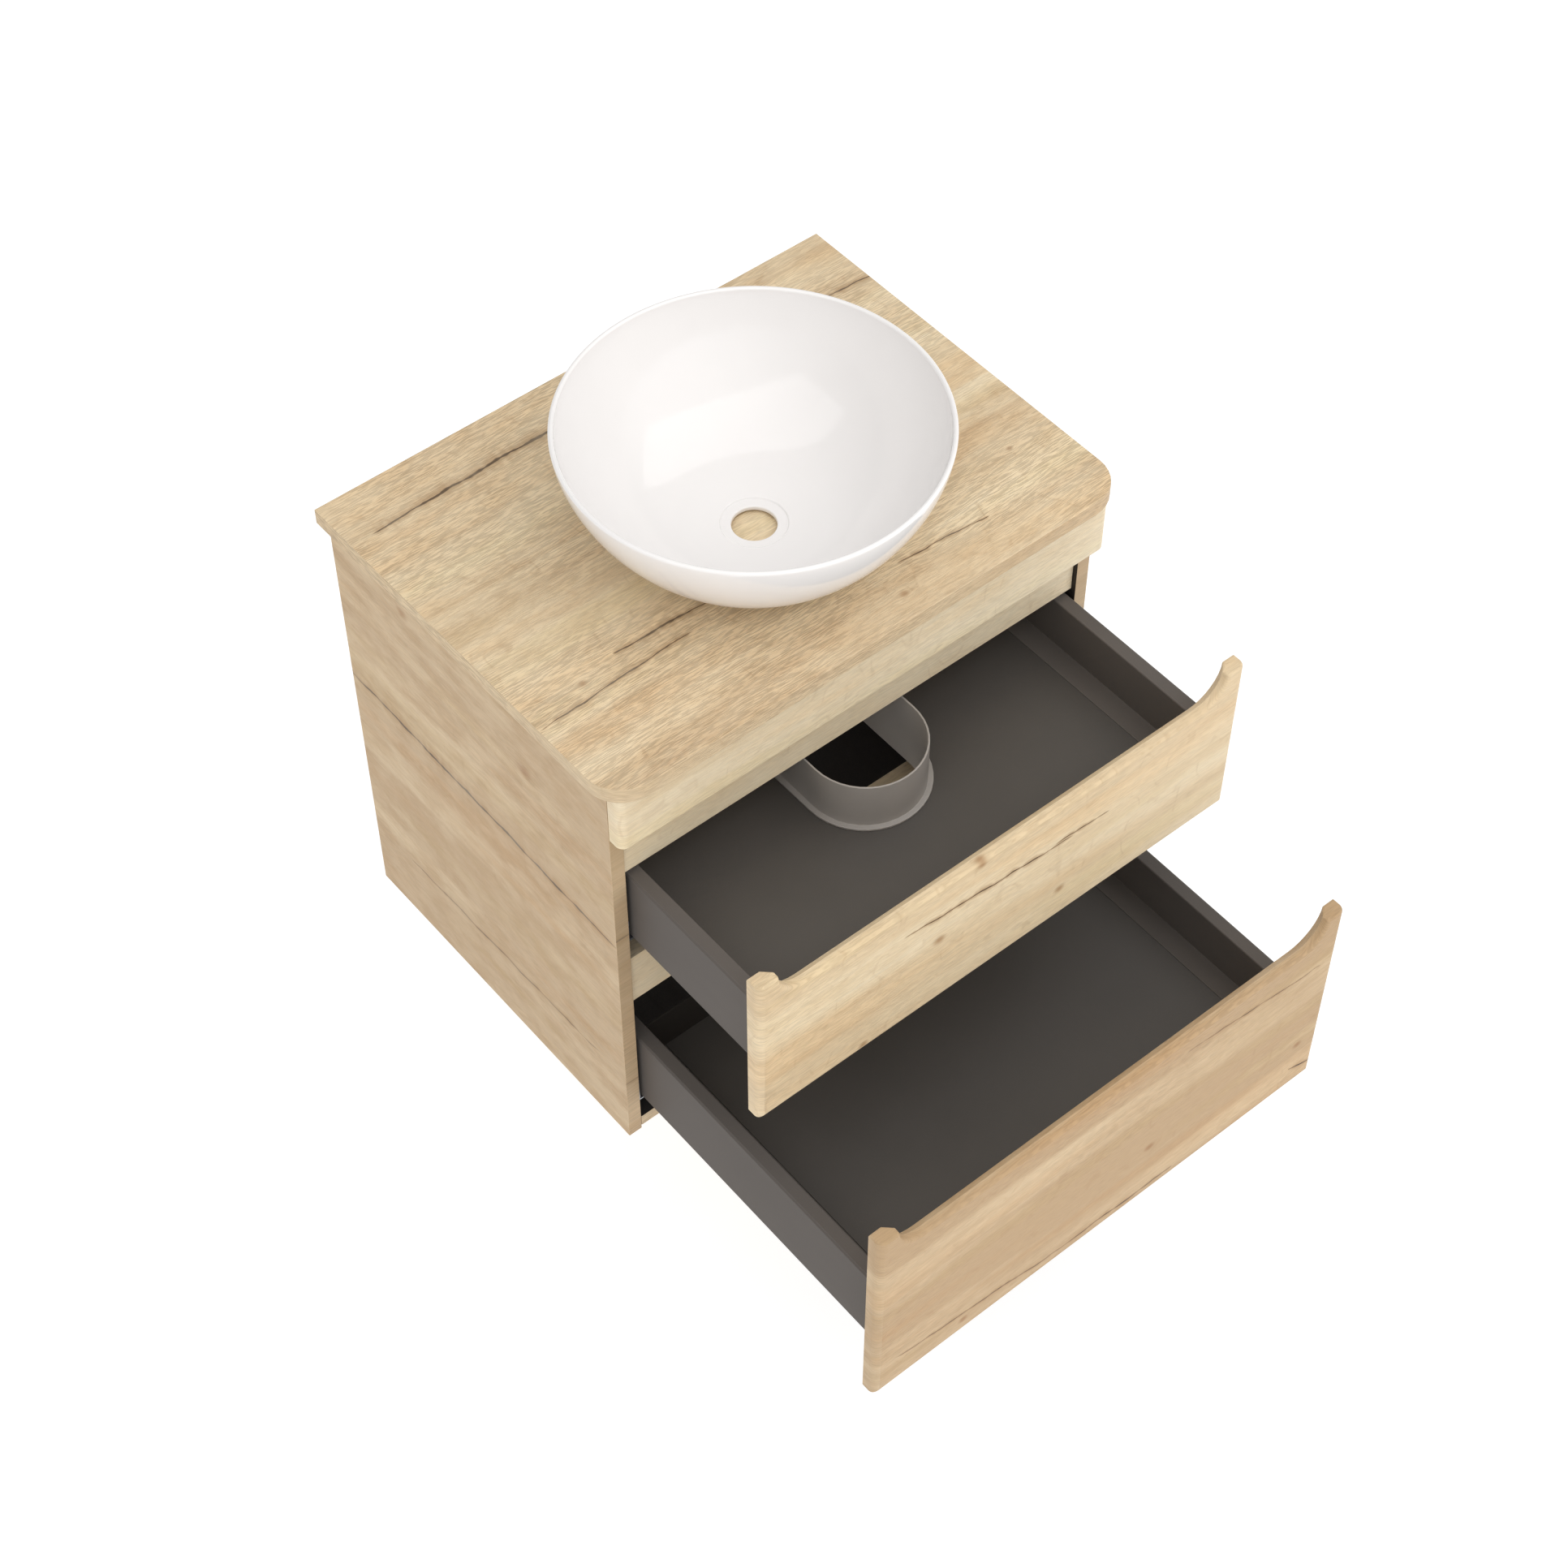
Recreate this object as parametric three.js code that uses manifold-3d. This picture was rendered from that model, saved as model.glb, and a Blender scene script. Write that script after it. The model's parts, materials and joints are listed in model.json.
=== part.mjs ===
// Wall-hung vanity with two drawers and a round vessel basin on its countertop.
// Millimetres. +X right, +Y towards the wall, +Z up. Origin: centre of the countertop's back face.
import * as THREE from "three";
import Module from "manifold-3d";

const wasm = await Module();
wasm.setup();

// ---- driving dimensions ---------------------------------------------------
const GAP = 0.3; // air left between pieces that touch
const CABINET = { width: 600, panel: 16, front: -439.5, back: -1, bottom: -573.3 };
const COUNTER = { width: 624, depth: 468, thickness: 18, corner: 40 };
const FASCIA = { back: -440.3, thickness: 18, bottom: -79, arris: 9 };
const SPACER = { near: 180, far: 220, inset: 10 };
const RAIL = { front: -434.2, thickness: 18, topBottom: -148.6, midTop: -285.2, midBottom: -354.9 };
const REAR_RAIL = { back: -14, thickness: 16, top: -80, height: 90, lowTop: -452, lowHeight: 100 };
const BOTTOM_PANEL = { top: -552.5, thickness: 16 };
const HANGER = { width: 20, front: -110, body: -34, tip: -4, top: -22, bottom: -66, armTop: -30, armBottom: -40 };
const HOOK = { thickness: 4, drop: 14 };

// A drawer's depths are given closed; `open` is how far out it stands at rest.
const DRAWER = { back: -440.8, rear: -40, sideOuter: 279, sideInner: 263, wall: 2, boardEdge: 238.4 };
const FRONT = { thickness: 18, arris: 9, hornCentre: 244.3, cutRadius: 31.7, chamfer: 9.3, gripArris: 4, land: 0.6 };
const FLOOR = { thickness: 16, rear: -41 };
const SHEET = { arris: 2, innerArris: 1, lip: 12 };
const BRACKET = { air: 1, length: 26, overFloor: 4, underTop: 8 };
const BACK_PLATE = { front: -57, thickness: 3, drop: 6 };
const UPPER = { open: 196.5, top: -82, bottom: -289.7, sideTop: -153.5, sideBottom: -247, floor: -213 };
const LOWER = { open: 368.5, top: -293.5, bottom: -573.3, sideTop: -421, sideBottom: -521.7, floor: -480.5 };
const COLLAR = { outer: 63, inner: 61, lap: 1, centre: -252, rear: -41.3, bottom: -240 };
const FLANGE = { outer: 68.5, height: 2.7 };
const RUNNER = { inner: 246, outer: 270, sheet: 2, cabinetFront: -437, cabinetRear: -45 };
const RUNNER_MIDDLE = { front: -430, rear: -50, halfFlange: 8, halfWeb: 2 };
const RUNNER_DRAWER = { front: -438, rear: -42 };
// Depths under the drawer's floor.
const RUNNER_DEPTH = {
  drawer: { top: 2.3, bottom: 16 },
  middle: { top: 6.6, bottom: 26.4, flange: 2.4 },
  cabinet: { top: 18.5, bottom: 31, plate: 8, underSide: 2.3, neck: 1 },
};

// The basin stands a little left of the countertop's centre line.
const BASIN = { x: -4, y: -286.5, rim: 188, height: 138.5, foot: 60, seal: 1.5, wall: 5, floor: 13 };
const BASIN_CURVE = { rise: 1.49, round: 1.9, steps: 18, footInset: 6, lipSteps: 6 };
const FOOT_RING = { width: 10, chamfer: 1, lift: 1.5 };
const SEAL_RING = { inner: 8, outer: 1 };
const DRAIN = { hole: 22, recess: 32, slope: 1.5, seat: 7.5, lip: 9 };
const ROUND_STEPS = 8;
const COLLAR_STEPS = 20;
const LATHE_STEPS = 64;

// ---- materials ------------------------------------------------------------
const paint = (color, roughness, metalness) => () =>
  new THREE.MeshStandardMaterial({ color, roughness, metalness });
const oak = paint(0xd8bd92, 0.55, 0);
const ceramic = paint(0xf1efee, 0.08, 0);
const anthracite = paint(0x55514d, 0.5, 0.2);
const darkSteel = paint(0x2b2826, 0.6, 0.3);
const greyPlastic = paint(0x77736f, 0.5, 0);
const zinc = paint(0xaeb2b6, 0.35, 0.9);
const silicone = paint(0xe6e6e4, 0.7, 0);

// ---- shape helpers --------------------------------------------------------
const box = (x0, x1, y0, y1, z0, z1) =>
  new THREE.BoxGeometry(x1 - x0, y1 - y0, z1 - z0).translate((x0 + x1) / 2, (y0 + y1) / 2, (z0 + z1) / 2);

const outline = (points) => new THREE.Shape(points.map(([a, b]) => new THREE.Vector2(a, b)));

// Outline in X and Y, extruded upwards.
function extrudeZ(shape, z0, z1) {
  const settings = { depth: z1 - z0, bevelEnabled: false, curveSegments: ROUND_STEPS };
  return new THREE.ExtrudeGeometry(shape, settings).translate(0, 0, z0);
}

// Outline in X and Z, extruded from y0 towards the wall to y1.
const extrudeY = (points, y0, y1) =>
  extrudeZ(outline(points.map(([x, z]) => [x, -z])), y0, y1).rotateX(-Math.PI / 2);

// Outline in Y and Z, extruded along X.
const extrudeX = (points, x0, x1) =>
  extrudeZ(outline(points.map(([y, z]) => [-z, y])), x0, x1).rotateY(Math.PI / 2);

// Points on an arc, both ends included; angles in degrees.
function arc(cx, cy, radius, from, to, steps = ROUND_STEPS) {
  return Array.from({ length: steps + 1 }, (_, i) => {
    const angle = THREE.MathUtils.degToRad(from + ((to - from) * i) / steps);
    return [cx + radius * Math.cos(angle), cy + radius * Math.sin(angle)];
  });
}

// Board seen from above, its two front corners rounded.
function roundedBoard(halfWidth, front, back, radius) {
  const x = halfWidth - radius;
  const y = front + radius;
  return outline([
    [halfWidth, back],
    [-halfWidth, back],
    ...arc(-x, y, radius, 180, 270),
    ...arc(x, y, radius, 270, 360),
  ]);
}

// Closed skin through loops of equal length; the first and last loop are capped.
function loft(loops) {
  const count = loops[0].length;
  const positions = loops.flat(2);
  const flat = loops[0].map(([x, , z]) => new THREE.Vector2(x, z));
  const caps = THREE.ShapeUtils.triangulateShape(flat, []);
  const last = count * (loops.length - 1);
  const index = [];
  for (const [a, b, c] of caps) {
    index.push(a, b, c, last + a, last + c, last + b);
  }
  for (let row = 0; row < loops.length - 1; row += 1) {
    for (let i = 0; i < count; i += 1) {
      const a = row * count + i;
      const b = row * count + ((i + 1) % count);
      index.push(a, a + count, b, b, a + count, b + count);
    }
  }
  const geometry = new THREE.BufferGeometry();
  geometry.setAttribute("position", new THREE.Float32BufferAttribute(positions, 3));
  geometry.setIndex(index);
  return geometry;
}

// ---- booleans -------------------------------------------------------------
function weld(geometry) {
  const source = geometry.index ? geometry.toNonIndexed() : geometry;
  const position = source.getAttribute("position");
  const seen = new Map();
  const vertices = [];
  const triangles = [];
  for (let i = 0; i < position.count; i += 1) {
    const point = [position.getX(i), position.getY(i), position.getZ(i)];
    const key = point.map((value) => Math.round(value * 1e4)).join(",");
    if (!seen.has(key)) {
      seen.set(key, vertices.length / 3);
      vertices.push(...point);
    }
    triangles.push(seen.get(key));
  }
  const kept = [];
  for (let i = 0; i < triangles.length; i += 3) {
    const [a, b, c] = triangles.slice(i, i + 3);
    if (a !== b && b !== c && c !== a) kept.push(a, b, c);
  }
  return { vertices, triangles: kept };
}

function solid(geometry) {
  const { vertices, triangles } = weld(geometry);
  return new wasm.Manifold(
    new wasm.Mesh({ numProp: 3, vertProperties: new Float32Array(vertices), triVerts: new Uint32Array(triangles) }),
  );
}

function fromSolid(manifold) {
  const mesh = manifold.getMesh();
  const geometry = new THREE.BufferGeometry();
  geometry.setAttribute("position", new THREE.Float32BufferAttribute(mesh.vertProperties, 3));
  geometry.setIndex(Array.from(mesh.triVerts));
  return geometry;
}

// ---- scene ----------------------------------------------------------------
const vanity = new THREE.Group();
vanity.name = "vanity";

function place(parent, name, geometry, material) {
  const { vertices, triangles } = weld(geometry);
  const clean = new THREE.BufferGeometry();
  clean.setAttribute("position", new THREE.Float32BufferAttribute(vertices, 3));
  clean.setIndex(triangles);
  clean.computeVertexNormals();
  const mesh = new THREE.Mesh(clean, material());
  mesh.name = name;
  parent.add(mesh);
  return mesh;
}

// Calls make(+1, "right") and make(-1, "left") and mirrors the left piece's outline in X.
function pair(parent, name, make, material) {
  place(parent, `${name}_right`, make(1), material);
  place(parent, `${name}_left`, make(-1), material);
}

const mirrored = (points, side) => (side > 0 ? points : points.map(([x, z]) => [-x, z]).reverse());
const sideBox = (side, x0, x1, ...rest) => (side > 0 ? box(x0, x1, ...rest) : box(-x1, -x0, ...rest));

// ---- carcass --------------------------------------------------------------
const underside = -COUNTER.thickness / 2;
const innerX = CABINET.width / 2 - CABINET.panel;
const carcassTop = underside - GAP;

function addCarcass(parent) {
  const half = CABINET.width / 2;
  place(
    parent,
    "countertop",
    extrudeZ(roundedBoard(COUNTER.width / 2, -COUNTER.depth, 0, COUNTER.corner), underside, -underside),
    oak,
  );
  pair(
    parent,
    "side_panel",
    (side) => sideBox(side, innerX, half, CABINET.front, CABINET.back, CABINET.bottom, carcassTop),
    oak,
  );
  const fascia = roundedBoard(half, FASCIA.back - FASCIA.thickness, FASCIA.back, FASCIA.arris);
  place(parent, "false_front", extrudeZ(fascia, FASCIA.bottom, carcassTop), oak);
  const railX = innerX - GAP;
  const railBack = RAIL.front + RAIL.thickness;
  const rearFront = REAR_RAIL.back - REAR_RAIL.thickness;
  const rearBack = REAR_RAIL.back;
  const rearBase = REAR_RAIL.top - REAR_RAIL.height;
  const lowBase = REAR_RAIL.lowTop - REAR_RAIL.lowHeight;
  const floorTop = BOTTOM_PANEL.top - GAP;
  const boards = [
    ["top_front_rail", RAIL.front, railBack, RAIL.topBottom, carcassTop, oak],
    ["middle_front_rail", RAIL.front, railBack, RAIL.midBottom, RAIL.midTop, oak],
    ["top_rear_rail", rearFront, rearBack, rearBase, REAR_RAIL.top, anthracite],
    ["bottom_rear_rail", rearFront, rearBack, lowBase, REAR_RAIL.lowTop, anthracite],
    ["bottom_panel", CABINET.front, CABINET.back, floorTop - BOTTOM_PANEL.thickness, floorTop, oak],
  ];
  for (const [name, y0, y1, z0, z1, material] of boards) {
    place(parent, name, box(-railX, railX, y0, y1, z0, z1), material);
  }
  const spacerBottom = FASCIA.bottom + SPACER.inset;
  const spacerTop = carcassTop - SPACER.inset;
  pair(
    parent,
    "fascia_spacer",
    (side) => sideBox(side, SPACER.near, SPACER.far, FASCIA.back + GAP, RAIL.front - GAP, spacerBottom, spacerTop),
    zinc,
  );
}

function addHangers(parent) {
  const outerX = innerX - GAP;
  const profile = [
    [HANGER.front, HANGER.bottom],
    [HANGER.body, HANGER.bottom],
    [HANGER.body, HANGER.armBottom],
    [HANGER.tip - HOOK.thickness, HANGER.armBottom],
    [HANGER.tip - HOOK.thickness, HANGER.armBottom - HOOK.drop],
    [HANGER.tip, HANGER.armBottom - HOOK.drop],
    [HANGER.tip, HANGER.armTop],
    [HANGER.body, HANGER.armTop],
    [HANGER.body, HANGER.top],
    [HANGER.front, HANGER.top],
  ];
  pair(
    parent,
    "hanger",
    (side) =>
      side > 0
        ? extrudeX(profile, outerX - HANGER.width, outerX)
        : extrudeX(profile, -outerX, HANGER.width - outerX),
    zinc,
  );
}

// ---- basin ----------------------------------------------------------------
function basinCurve(rimRadius, footRadius, low, high, steps) {
  return Array.from({ length: steps + 1 }, (_, i) => {
    const part = Math.sin((i / steps) * (Math.PI / 2)) ** 2;
    const swell = (1 - (1 - part) ** BASIN_CURVE.rise) ** (1 / BASIN_CURVE.round);
    return [footRadius + (rimRadius - footRadius) * swell, low + (high - low) * part];
  });
}

function lathe(points) {
  const profile = points.map(([radius, z]) => new THREE.Vector2(radius, z));
  profile.push(profile[0].clone());
  return new THREE.LatheGeometry(profile, LATHE_STEPS).rotateX(Math.PI / 2);
}

function addBasin(parent) {
  const counterTop = -underside;
  const stand = new THREE.Group();
  stand.position.set(BASIN.x, BASIN.y, counterTop);
  parent.add(stand);
  const lip = BASIN.wall / 2;
  const rimZ = BASIN.height - lip;
  const outer = basinCurve(BASIN.rim, BASIN.foot, BASIN.seal, rimZ, BASIN_CURVE.steps);
  const innerFoot = BASIN.foot + BASIN_CURVE.footInset;
  const inner = basinCurve(BASIN.rim - BASIN.wall, innerFoot, BASIN.floor, rimZ, BASIN_CURVE.steps);
  const ringInner = BASIN.foot - FOOT_RING.width;
  const profile = [
    ...outer,
    ...arc(BASIN.rim - lip, rimZ, lip, 0, 180, BASIN_CURVE.lipSteps).slice(1, -1),
    ...inner.reverse(),
    [DRAIN.recess, DRAIN.lip],
    [DRAIN.recess - DRAIN.slope, DRAIN.seat],
    [DRAIN.hole, DRAIN.seat],
    [DRAIN.hole, BASIN.seal + FOOT_RING.lift],
    [ringInner, BASIN.seal + FOOT_RING.lift],
    [ringInner + FOOT_RING.chamfer, BASIN.seal],
  ];
  place(stand, "basin", lathe(profile), ceramic);
  const ring = [
    [BASIN.foot - SEAL_RING.inner, GAP],
    [BASIN.foot - SEAL_RING.outer, GAP],
    [BASIN.foot - SEAL_RING.outer, BASIN.seal - GAP],
    [BASIN.foot - SEAL_RING.inner, BASIN.seal - GAP],
  ];
  place(stand, "basin_seal", lathe(ring), silicone);
}

// ---- drawer fronts --------------------------------------------------------
// Front elevation at one depth: `inset` draws in the ends and foot, `cut` is the grip's radius.
function frontLoop(drawer, y, inset, cut) {
  const half = CABINET.width / 2 - inset;
  const bottom = drawer.bottom + inset;
  const right = arc(FRONT.hornCentre, drawer.top, cut, 0, -90);
  const left = arc(-FRONT.hornCentre, drawer.top, cut, -90, -180);
  const loop = [[-half, bottom], [half, bottom], [half, drawer.top], ...right, ...left, [-half, drawer.top]];
  return loop.map(([x, z]) => [x, y, z]);
}

function drawerFront(drawer) {
  const back = DRAWER.back - drawer.open;
  const face = back - FRONT.thickness;
  const loops = [];
  for (let i = 0; i <= ROUND_STEPS; i += 1) {
    const angle = (i / ROUND_STEPS) * (Math.PI / 2);
    const inset = FRONT.arris * (1 - Math.sin(angle));
    const depth = FRONT.arris * (1 - Math.cos(angle));
    const grip = Math.min(1, depth / FRONT.gripArris);
    const ease = FRONT.gripArris * (1 - Math.sqrt(1 - (1 - grip) ** 2));
    loops.push(frontLoop(drawer, face + depth, inset, FRONT.cutRadius + ease));
  }
  loops.push(frontLoop(drawer, back - FRONT.chamfer + FRONT.land, 0, FRONT.cutRadius));
  loops.push(frontLoop(drawer, back, 0, FRONT.cutRadius + FRONT.chamfer));
  return loft(loops);
}

// ---- drawer boxes ---------------------------------------------------------
// Sheet-steel side seen end on: outer wall, top, inner wall, floor flange and the lip under the board.
function sideProfile(drawer) {
  const { sideOuter: out, sideInner: inn, wall, boardEdge } = DRAWER;
  const { arris, innerArris } = SHEET;
  const hollowTop = drawer.sideTop - wall - innerArris;
  const edge = boardEdge + GAP;
  const lip = drawer.floor - FLOOR.thickness - GAP;
  return [
    [out, drawer.sideBottom],
    [out, drawer.sideTop - arris],
    [out - arris, drawer.sideTop],
    [inn + innerArris, drawer.sideTop],
    [inn, drawer.sideTop - innerArris],
    [inn, drawer.floor],
    [edge, drawer.floor],
    [edge, lip],
    [edge - SHEET.lip, lip],
    [edge - SHEET.lip, lip - wall],
    [edge + wall, lip - wall],
    [edge + wall, drawer.floor - wall],
    [inn + wall, drawer.floor - wall],
    [inn + wall, hollowTop],
    [out - wall, hollowTop],
    [out - wall, drawer.sideBottom],
  ];
}

function addSides(parent, prefix, drawer) {
  const front = DRAWER.back + GAP;
  pair(
    parent,
    `${prefix}_side`,
    (side) => extrudeY(mirrored(sideProfile(drawer), side), front, DRAWER.rear),
    anthracite,
  );
  const inner = DRAWER.sideInner + DRAWER.wall + BRACKET.air;
  const outer = DRAWER.sideOuter - DRAWER.wall - BRACKET.air;
  const bottom = drawer.floor + BRACKET.overFloor;
  const top = drawer.sideTop - BRACKET.underTop;
  pair(
    parent,
    `${prefix}_front_bracket`,
    (side) => sideBox(side, inner, outer, front, front + BRACKET.length, bottom, top),
    zinc,
  );
}

// Outline of the siphon cut-out, open towards the wall.
function collarOutline(radius, rear) {
  return [[radius, rear], ...arc(0, COLLAR.centre, radius, 0, -180, COLLAR_STEPS), [-radius, rear]];
}

function bentStrip(outer, inner, rear, z0, z1) {
  const inside = collarOutline(inner, rear).reverse();
  return extrudeZ(outline([...collarOutline(outer, rear), ...inside]), z0, z1);
}

function addUpperFloor(parent) {
  const front = DRAWER.back + GAP;
  const board = outline([
    [-DRAWER.boardEdge, FLOOR.rear],
    [-DRAWER.boardEdge, front],
    [DRAWER.boardEdge, front],
    [DRAWER.boardEdge, FLOOR.rear],
    ...collarOutline(COLLAR.outer + GAP, FLOOR.rear),
  ]);
  place(parent, "upper_floor", extrudeZ(board, UPPER.floor - FLOOR.thickness, UPPER.floor), anthracite);
  const wall = bentStrip(COLLAR.outer, COLLAR.inner, COLLAR.rear, COLLAR.bottom, UPPER.sideTop);
  const flangeBase = UPPER.floor + GAP;
  const flangeTop = flangeBase + FLANGE.height;
  const flange = bentStrip(FLANGE.outer, COLLAR.outer - COLLAR.lap, COLLAR.rear, flangeBase, flangeTop);
  place(parent, "siphon_collar", fromSolid(solid(wall).add(solid(flange))), greyPlastic);
  const z0 = UPPER.floor + GAP;
  const z1 = UPPER.sideTop - BACK_PLATE.drop;
  const rear = BACK_PLATE.front + BACK_PLATE.thickness;
  pair(
    parent,
    "upper_back",
    (side) => sideBox(side, FLANGE.outer + GAP, DRAWER.sideInner - GAP, BACK_PLATE.front, rear, z0, z1),
    darkSteel,
  );
}

function addLowerFloor(parent) {
  const { boardEdge } = DRAWER;
  const base = LOWER.floor - FLOOR.thickness;
  const board = box(-boardEdge, boardEdge, DRAWER.back + GAP, FLOOR.rear, base, LOWER.floor);
  place(parent, "lower_floor", board, anthracite);
  const wide = DRAWER.sideInner - GAP;
  const rear = BACK_PLATE.front + BACK_PLATE.thickness;
  const top = LOWER.sideTop - BACK_PLATE.drop;
  place(parent, "lower_back", box(-wide, wide, BACK_PLATE.front, rear, LOWER.floor + GAP, top), darkSteel);
}

// ---- runners --------------------------------------------------------------
// Sections of the three runner members, seen end on.
function drawerSection(drawer) {
  const { inner, outer, sheet } = RUNNER;
  const top = drawer.floor - RUNNER_DEPTH.drawer.top;
  const bottom = drawer.floor - RUNNER_DEPTH.drawer.bottom;
  return [
    [inner + sheet, bottom],
    [inner + sheet, top - sheet],
    [outer - sheet, top - sheet],
    [outer - sheet, bottom],
    [outer, bottom],
    [outer, top],
    [inner, top],
    [inner, bottom],
  ];
}

function middleSection(drawer) {
  const { halfFlange, halfWeb } = RUNNER_MIDDLE;
  const { flange } = RUNNER_DEPTH.middle;
  const middle = (RUNNER.inner + RUNNER.outer) / 2;
  const top = drawer.floor - RUNNER_DEPTH.middle.top;
  const bottom = drawer.floor - RUNNER_DEPTH.middle.bottom;
  return [
    [middle - halfWeb, top - flange],
    [middle - halfWeb, bottom + flange],
    [middle - halfFlange, bottom + flange],
    [middle - halfFlange, bottom],
    [middle + halfFlange, bottom],
    [middle + halfFlange, bottom + flange],
    [middle + halfWeb, bottom + flange],
    [middle + halfWeb, top - flange],
    [middle + halfFlange, top - flange],
    [middle + halfFlange, top],
    [middle - halfFlange, top],
    [middle - halfFlange, top - flange],
  ];
}

function cabinetSection(drawer) {
  const { inner, outer, sheet } = RUNNER;
  const depth = RUNNER_DEPTH.cabinet;
  const top = drawer.floor - depth.top;
  const bottom = drawer.floor - depth.bottom;
  const arm = drawer.sideBottom - depth.underSide;
  const neck = outer + depth.neck;
  const plate = innerX - GAP;
  return [
    [inner, top],
    [inner, bottom],
    [neck, bottom],
    [neck, arm - sheet],
    [plate, arm - sheet],
    [plate, drawer.floor - depth.plate],
    [plate - sheet, drawer.floor - depth.plate],
    [plate - sheet, arm],
    [neck + sheet, arm],
    [neck + sheet, bottom + sheet],
    [outer, bottom + sheet],
    [outer, top],
    [outer - sheet, top],
    [outer - sheet, bottom + sheet],
    [inner + sheet, bottom + sheet],
    [inner + sheet, top],
  ];
}

function addRunner(parent, name, section, y0, y1) {
  pair(parent, name, (side) => extrudeY(mirrored(section, side), y0, y1), zinc);
}

function addDrawer(prefix, drawer, addFloor) {
  addRunner(vanity, `${prefix}_runner_cabinet`, cabinetSection(drawer), RUNNER.cabinetFront, RUNNER.cabinetRear);
  const half = new THREE.Group();
  half.position.y = -drawer.open / 2;
  vanity.add(half);
  addRunner(half, `${prefix}_runner_middle`, middleSection(drawer), RUNNER_MIDDLE.front, RUNNER_MIDDLE.rear);
  const slid = new THREE.Group();
  slid.position.y = -drawer.open;
  vanity.add(slid);
  addRunner(slid, `${prefix}_runner_drawer`, drawerSection(drawer), RUNNER_DRAWER.front, RUNNER_DRAWER.rear);
  addSides(slid, prefix, drawer);
  addFloor(slid);
  place(vanity, `${prefix}_front`, drawerFront(drawer), oak);
}

addCarcass(vanity);
addHangers(vanity);
addBasin(vanity);
addDrawer("upper", UPPER, addUpperFloor);
addDrawer("lower", LOWER, addLowerFloor);

export default vanity;
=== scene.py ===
"""Looks of a wall-hung vanity: oak boards, two open drawers and a round vessel basin.

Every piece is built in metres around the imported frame: +X right, +Y towards the wall, +Z up.
"""
import json
import math

import bmesh
import bpy
from mathutils import Matrix, Vector


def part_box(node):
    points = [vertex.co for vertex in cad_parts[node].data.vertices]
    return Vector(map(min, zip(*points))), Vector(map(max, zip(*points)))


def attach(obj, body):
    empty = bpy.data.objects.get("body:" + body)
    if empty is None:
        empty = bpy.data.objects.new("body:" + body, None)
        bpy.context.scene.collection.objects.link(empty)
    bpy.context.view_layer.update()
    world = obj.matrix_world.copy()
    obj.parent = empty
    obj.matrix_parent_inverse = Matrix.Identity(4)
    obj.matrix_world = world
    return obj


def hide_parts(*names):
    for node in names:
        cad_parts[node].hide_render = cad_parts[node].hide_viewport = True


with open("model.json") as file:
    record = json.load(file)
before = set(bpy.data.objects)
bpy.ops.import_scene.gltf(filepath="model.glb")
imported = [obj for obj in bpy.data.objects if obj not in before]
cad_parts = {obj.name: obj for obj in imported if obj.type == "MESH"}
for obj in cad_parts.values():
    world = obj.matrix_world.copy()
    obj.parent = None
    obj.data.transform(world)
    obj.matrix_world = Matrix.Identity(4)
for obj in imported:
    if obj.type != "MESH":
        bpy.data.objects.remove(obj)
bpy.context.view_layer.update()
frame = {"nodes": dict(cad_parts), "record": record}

bl_info = {
    "name": "Vanity with vessel basin",
    "version": (1, 0, 0),
    "blender": (4, 5, 0),
    "location": "3D View > Sidebar > Vanity",
    "description": "Builds the finished surfaces of a wall-hung vanity around its packed frame",
    "category": "Object",
}

MM = 0.001
BODIES = frame["record"]["behaviour"]["bodies"]
BODY_OF = {node: body for body, nodes in BODIES.items() for node in nodes}
DRAWERS = ("upper", "lower")
INWARD = {"left": 1.0, "right": -1.0}  # which way along X each side looks into the cabinet

# Layers of an oak board: its faces, the band round its edges and the dark lining of inner faces.
FACE, EDGE, LINING = 0.0, 1.0, 2.0

# Mesh clean-up before rounding.
WELD_DISTANCE = 0.005 * MM
FLAT_ANGLE = math.radians(0.6)
SHARP_ANGLE = math.radians(30.0)

# Rounding of the edges of sheet steel and of the silicone bead.
STEEL_EDGE = 0.3 * MM
SEAL_EDGE = 0.3 * MM

# Rounded front corners in plan, and the softened top rim of a drawer front.
COUNTERTOP_CORNER = 40 * MM
FRONT_CORNER = 9 * MM
GRIP_ROUNDING = 2.4 * MM

# Profile of the basin.
BOWL_RISE, BOWL_ROUNDNESS = 1.49, 1.9
FLOOR_FLARE = 6 * MM
FLOOR_FALL = 3.7 * MM
RECESS_DEPTH = 5.5 * MM
RECESS_EDGE = 0.5 * MM
HOLE_EDGE = 1.5 * MM
FOOT_RING = 10 * MM
FOOT_DRAFT = 1 * MM
FOOT_HOLLOW = 1.5 * MM

# Rows of screws along the runners, from a runner's front end, back end, top and face.
SCREW_FRONT = 37 * MM
SCREW_BACK = 20 * MM
SCREW_DROP = 8 * MM
SCREW_SEAT = 2 * MM

# Studio: the overhead softbox and the camera.
FLOOR_HALF_WIDTH = 60.0
SOFTBOX_SIZE = (7.1, 2.8)
SOFTBOX_PLACE = (-0.23, -1.04, 2.53)
SOFTBOX_TURN = -11.0
LENS_MM, SENSOR_MM = 71.385, 36.0
CAMERA_PLACE = (-1.2856, -1.8849, 2.1441)
CAMERA_TURN = (39.122, 0.0, -39.51)


def linear(red, green, blue):
    """Linear colour of an 8-bit display colour."""

    def channel(value):
        value /= 255
        return value / 12.92 if value <= 0.04045 else ((value + 0.055) / 1.055) ** 2.4

    return channel(red), channel(green), channel(blue)


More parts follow.
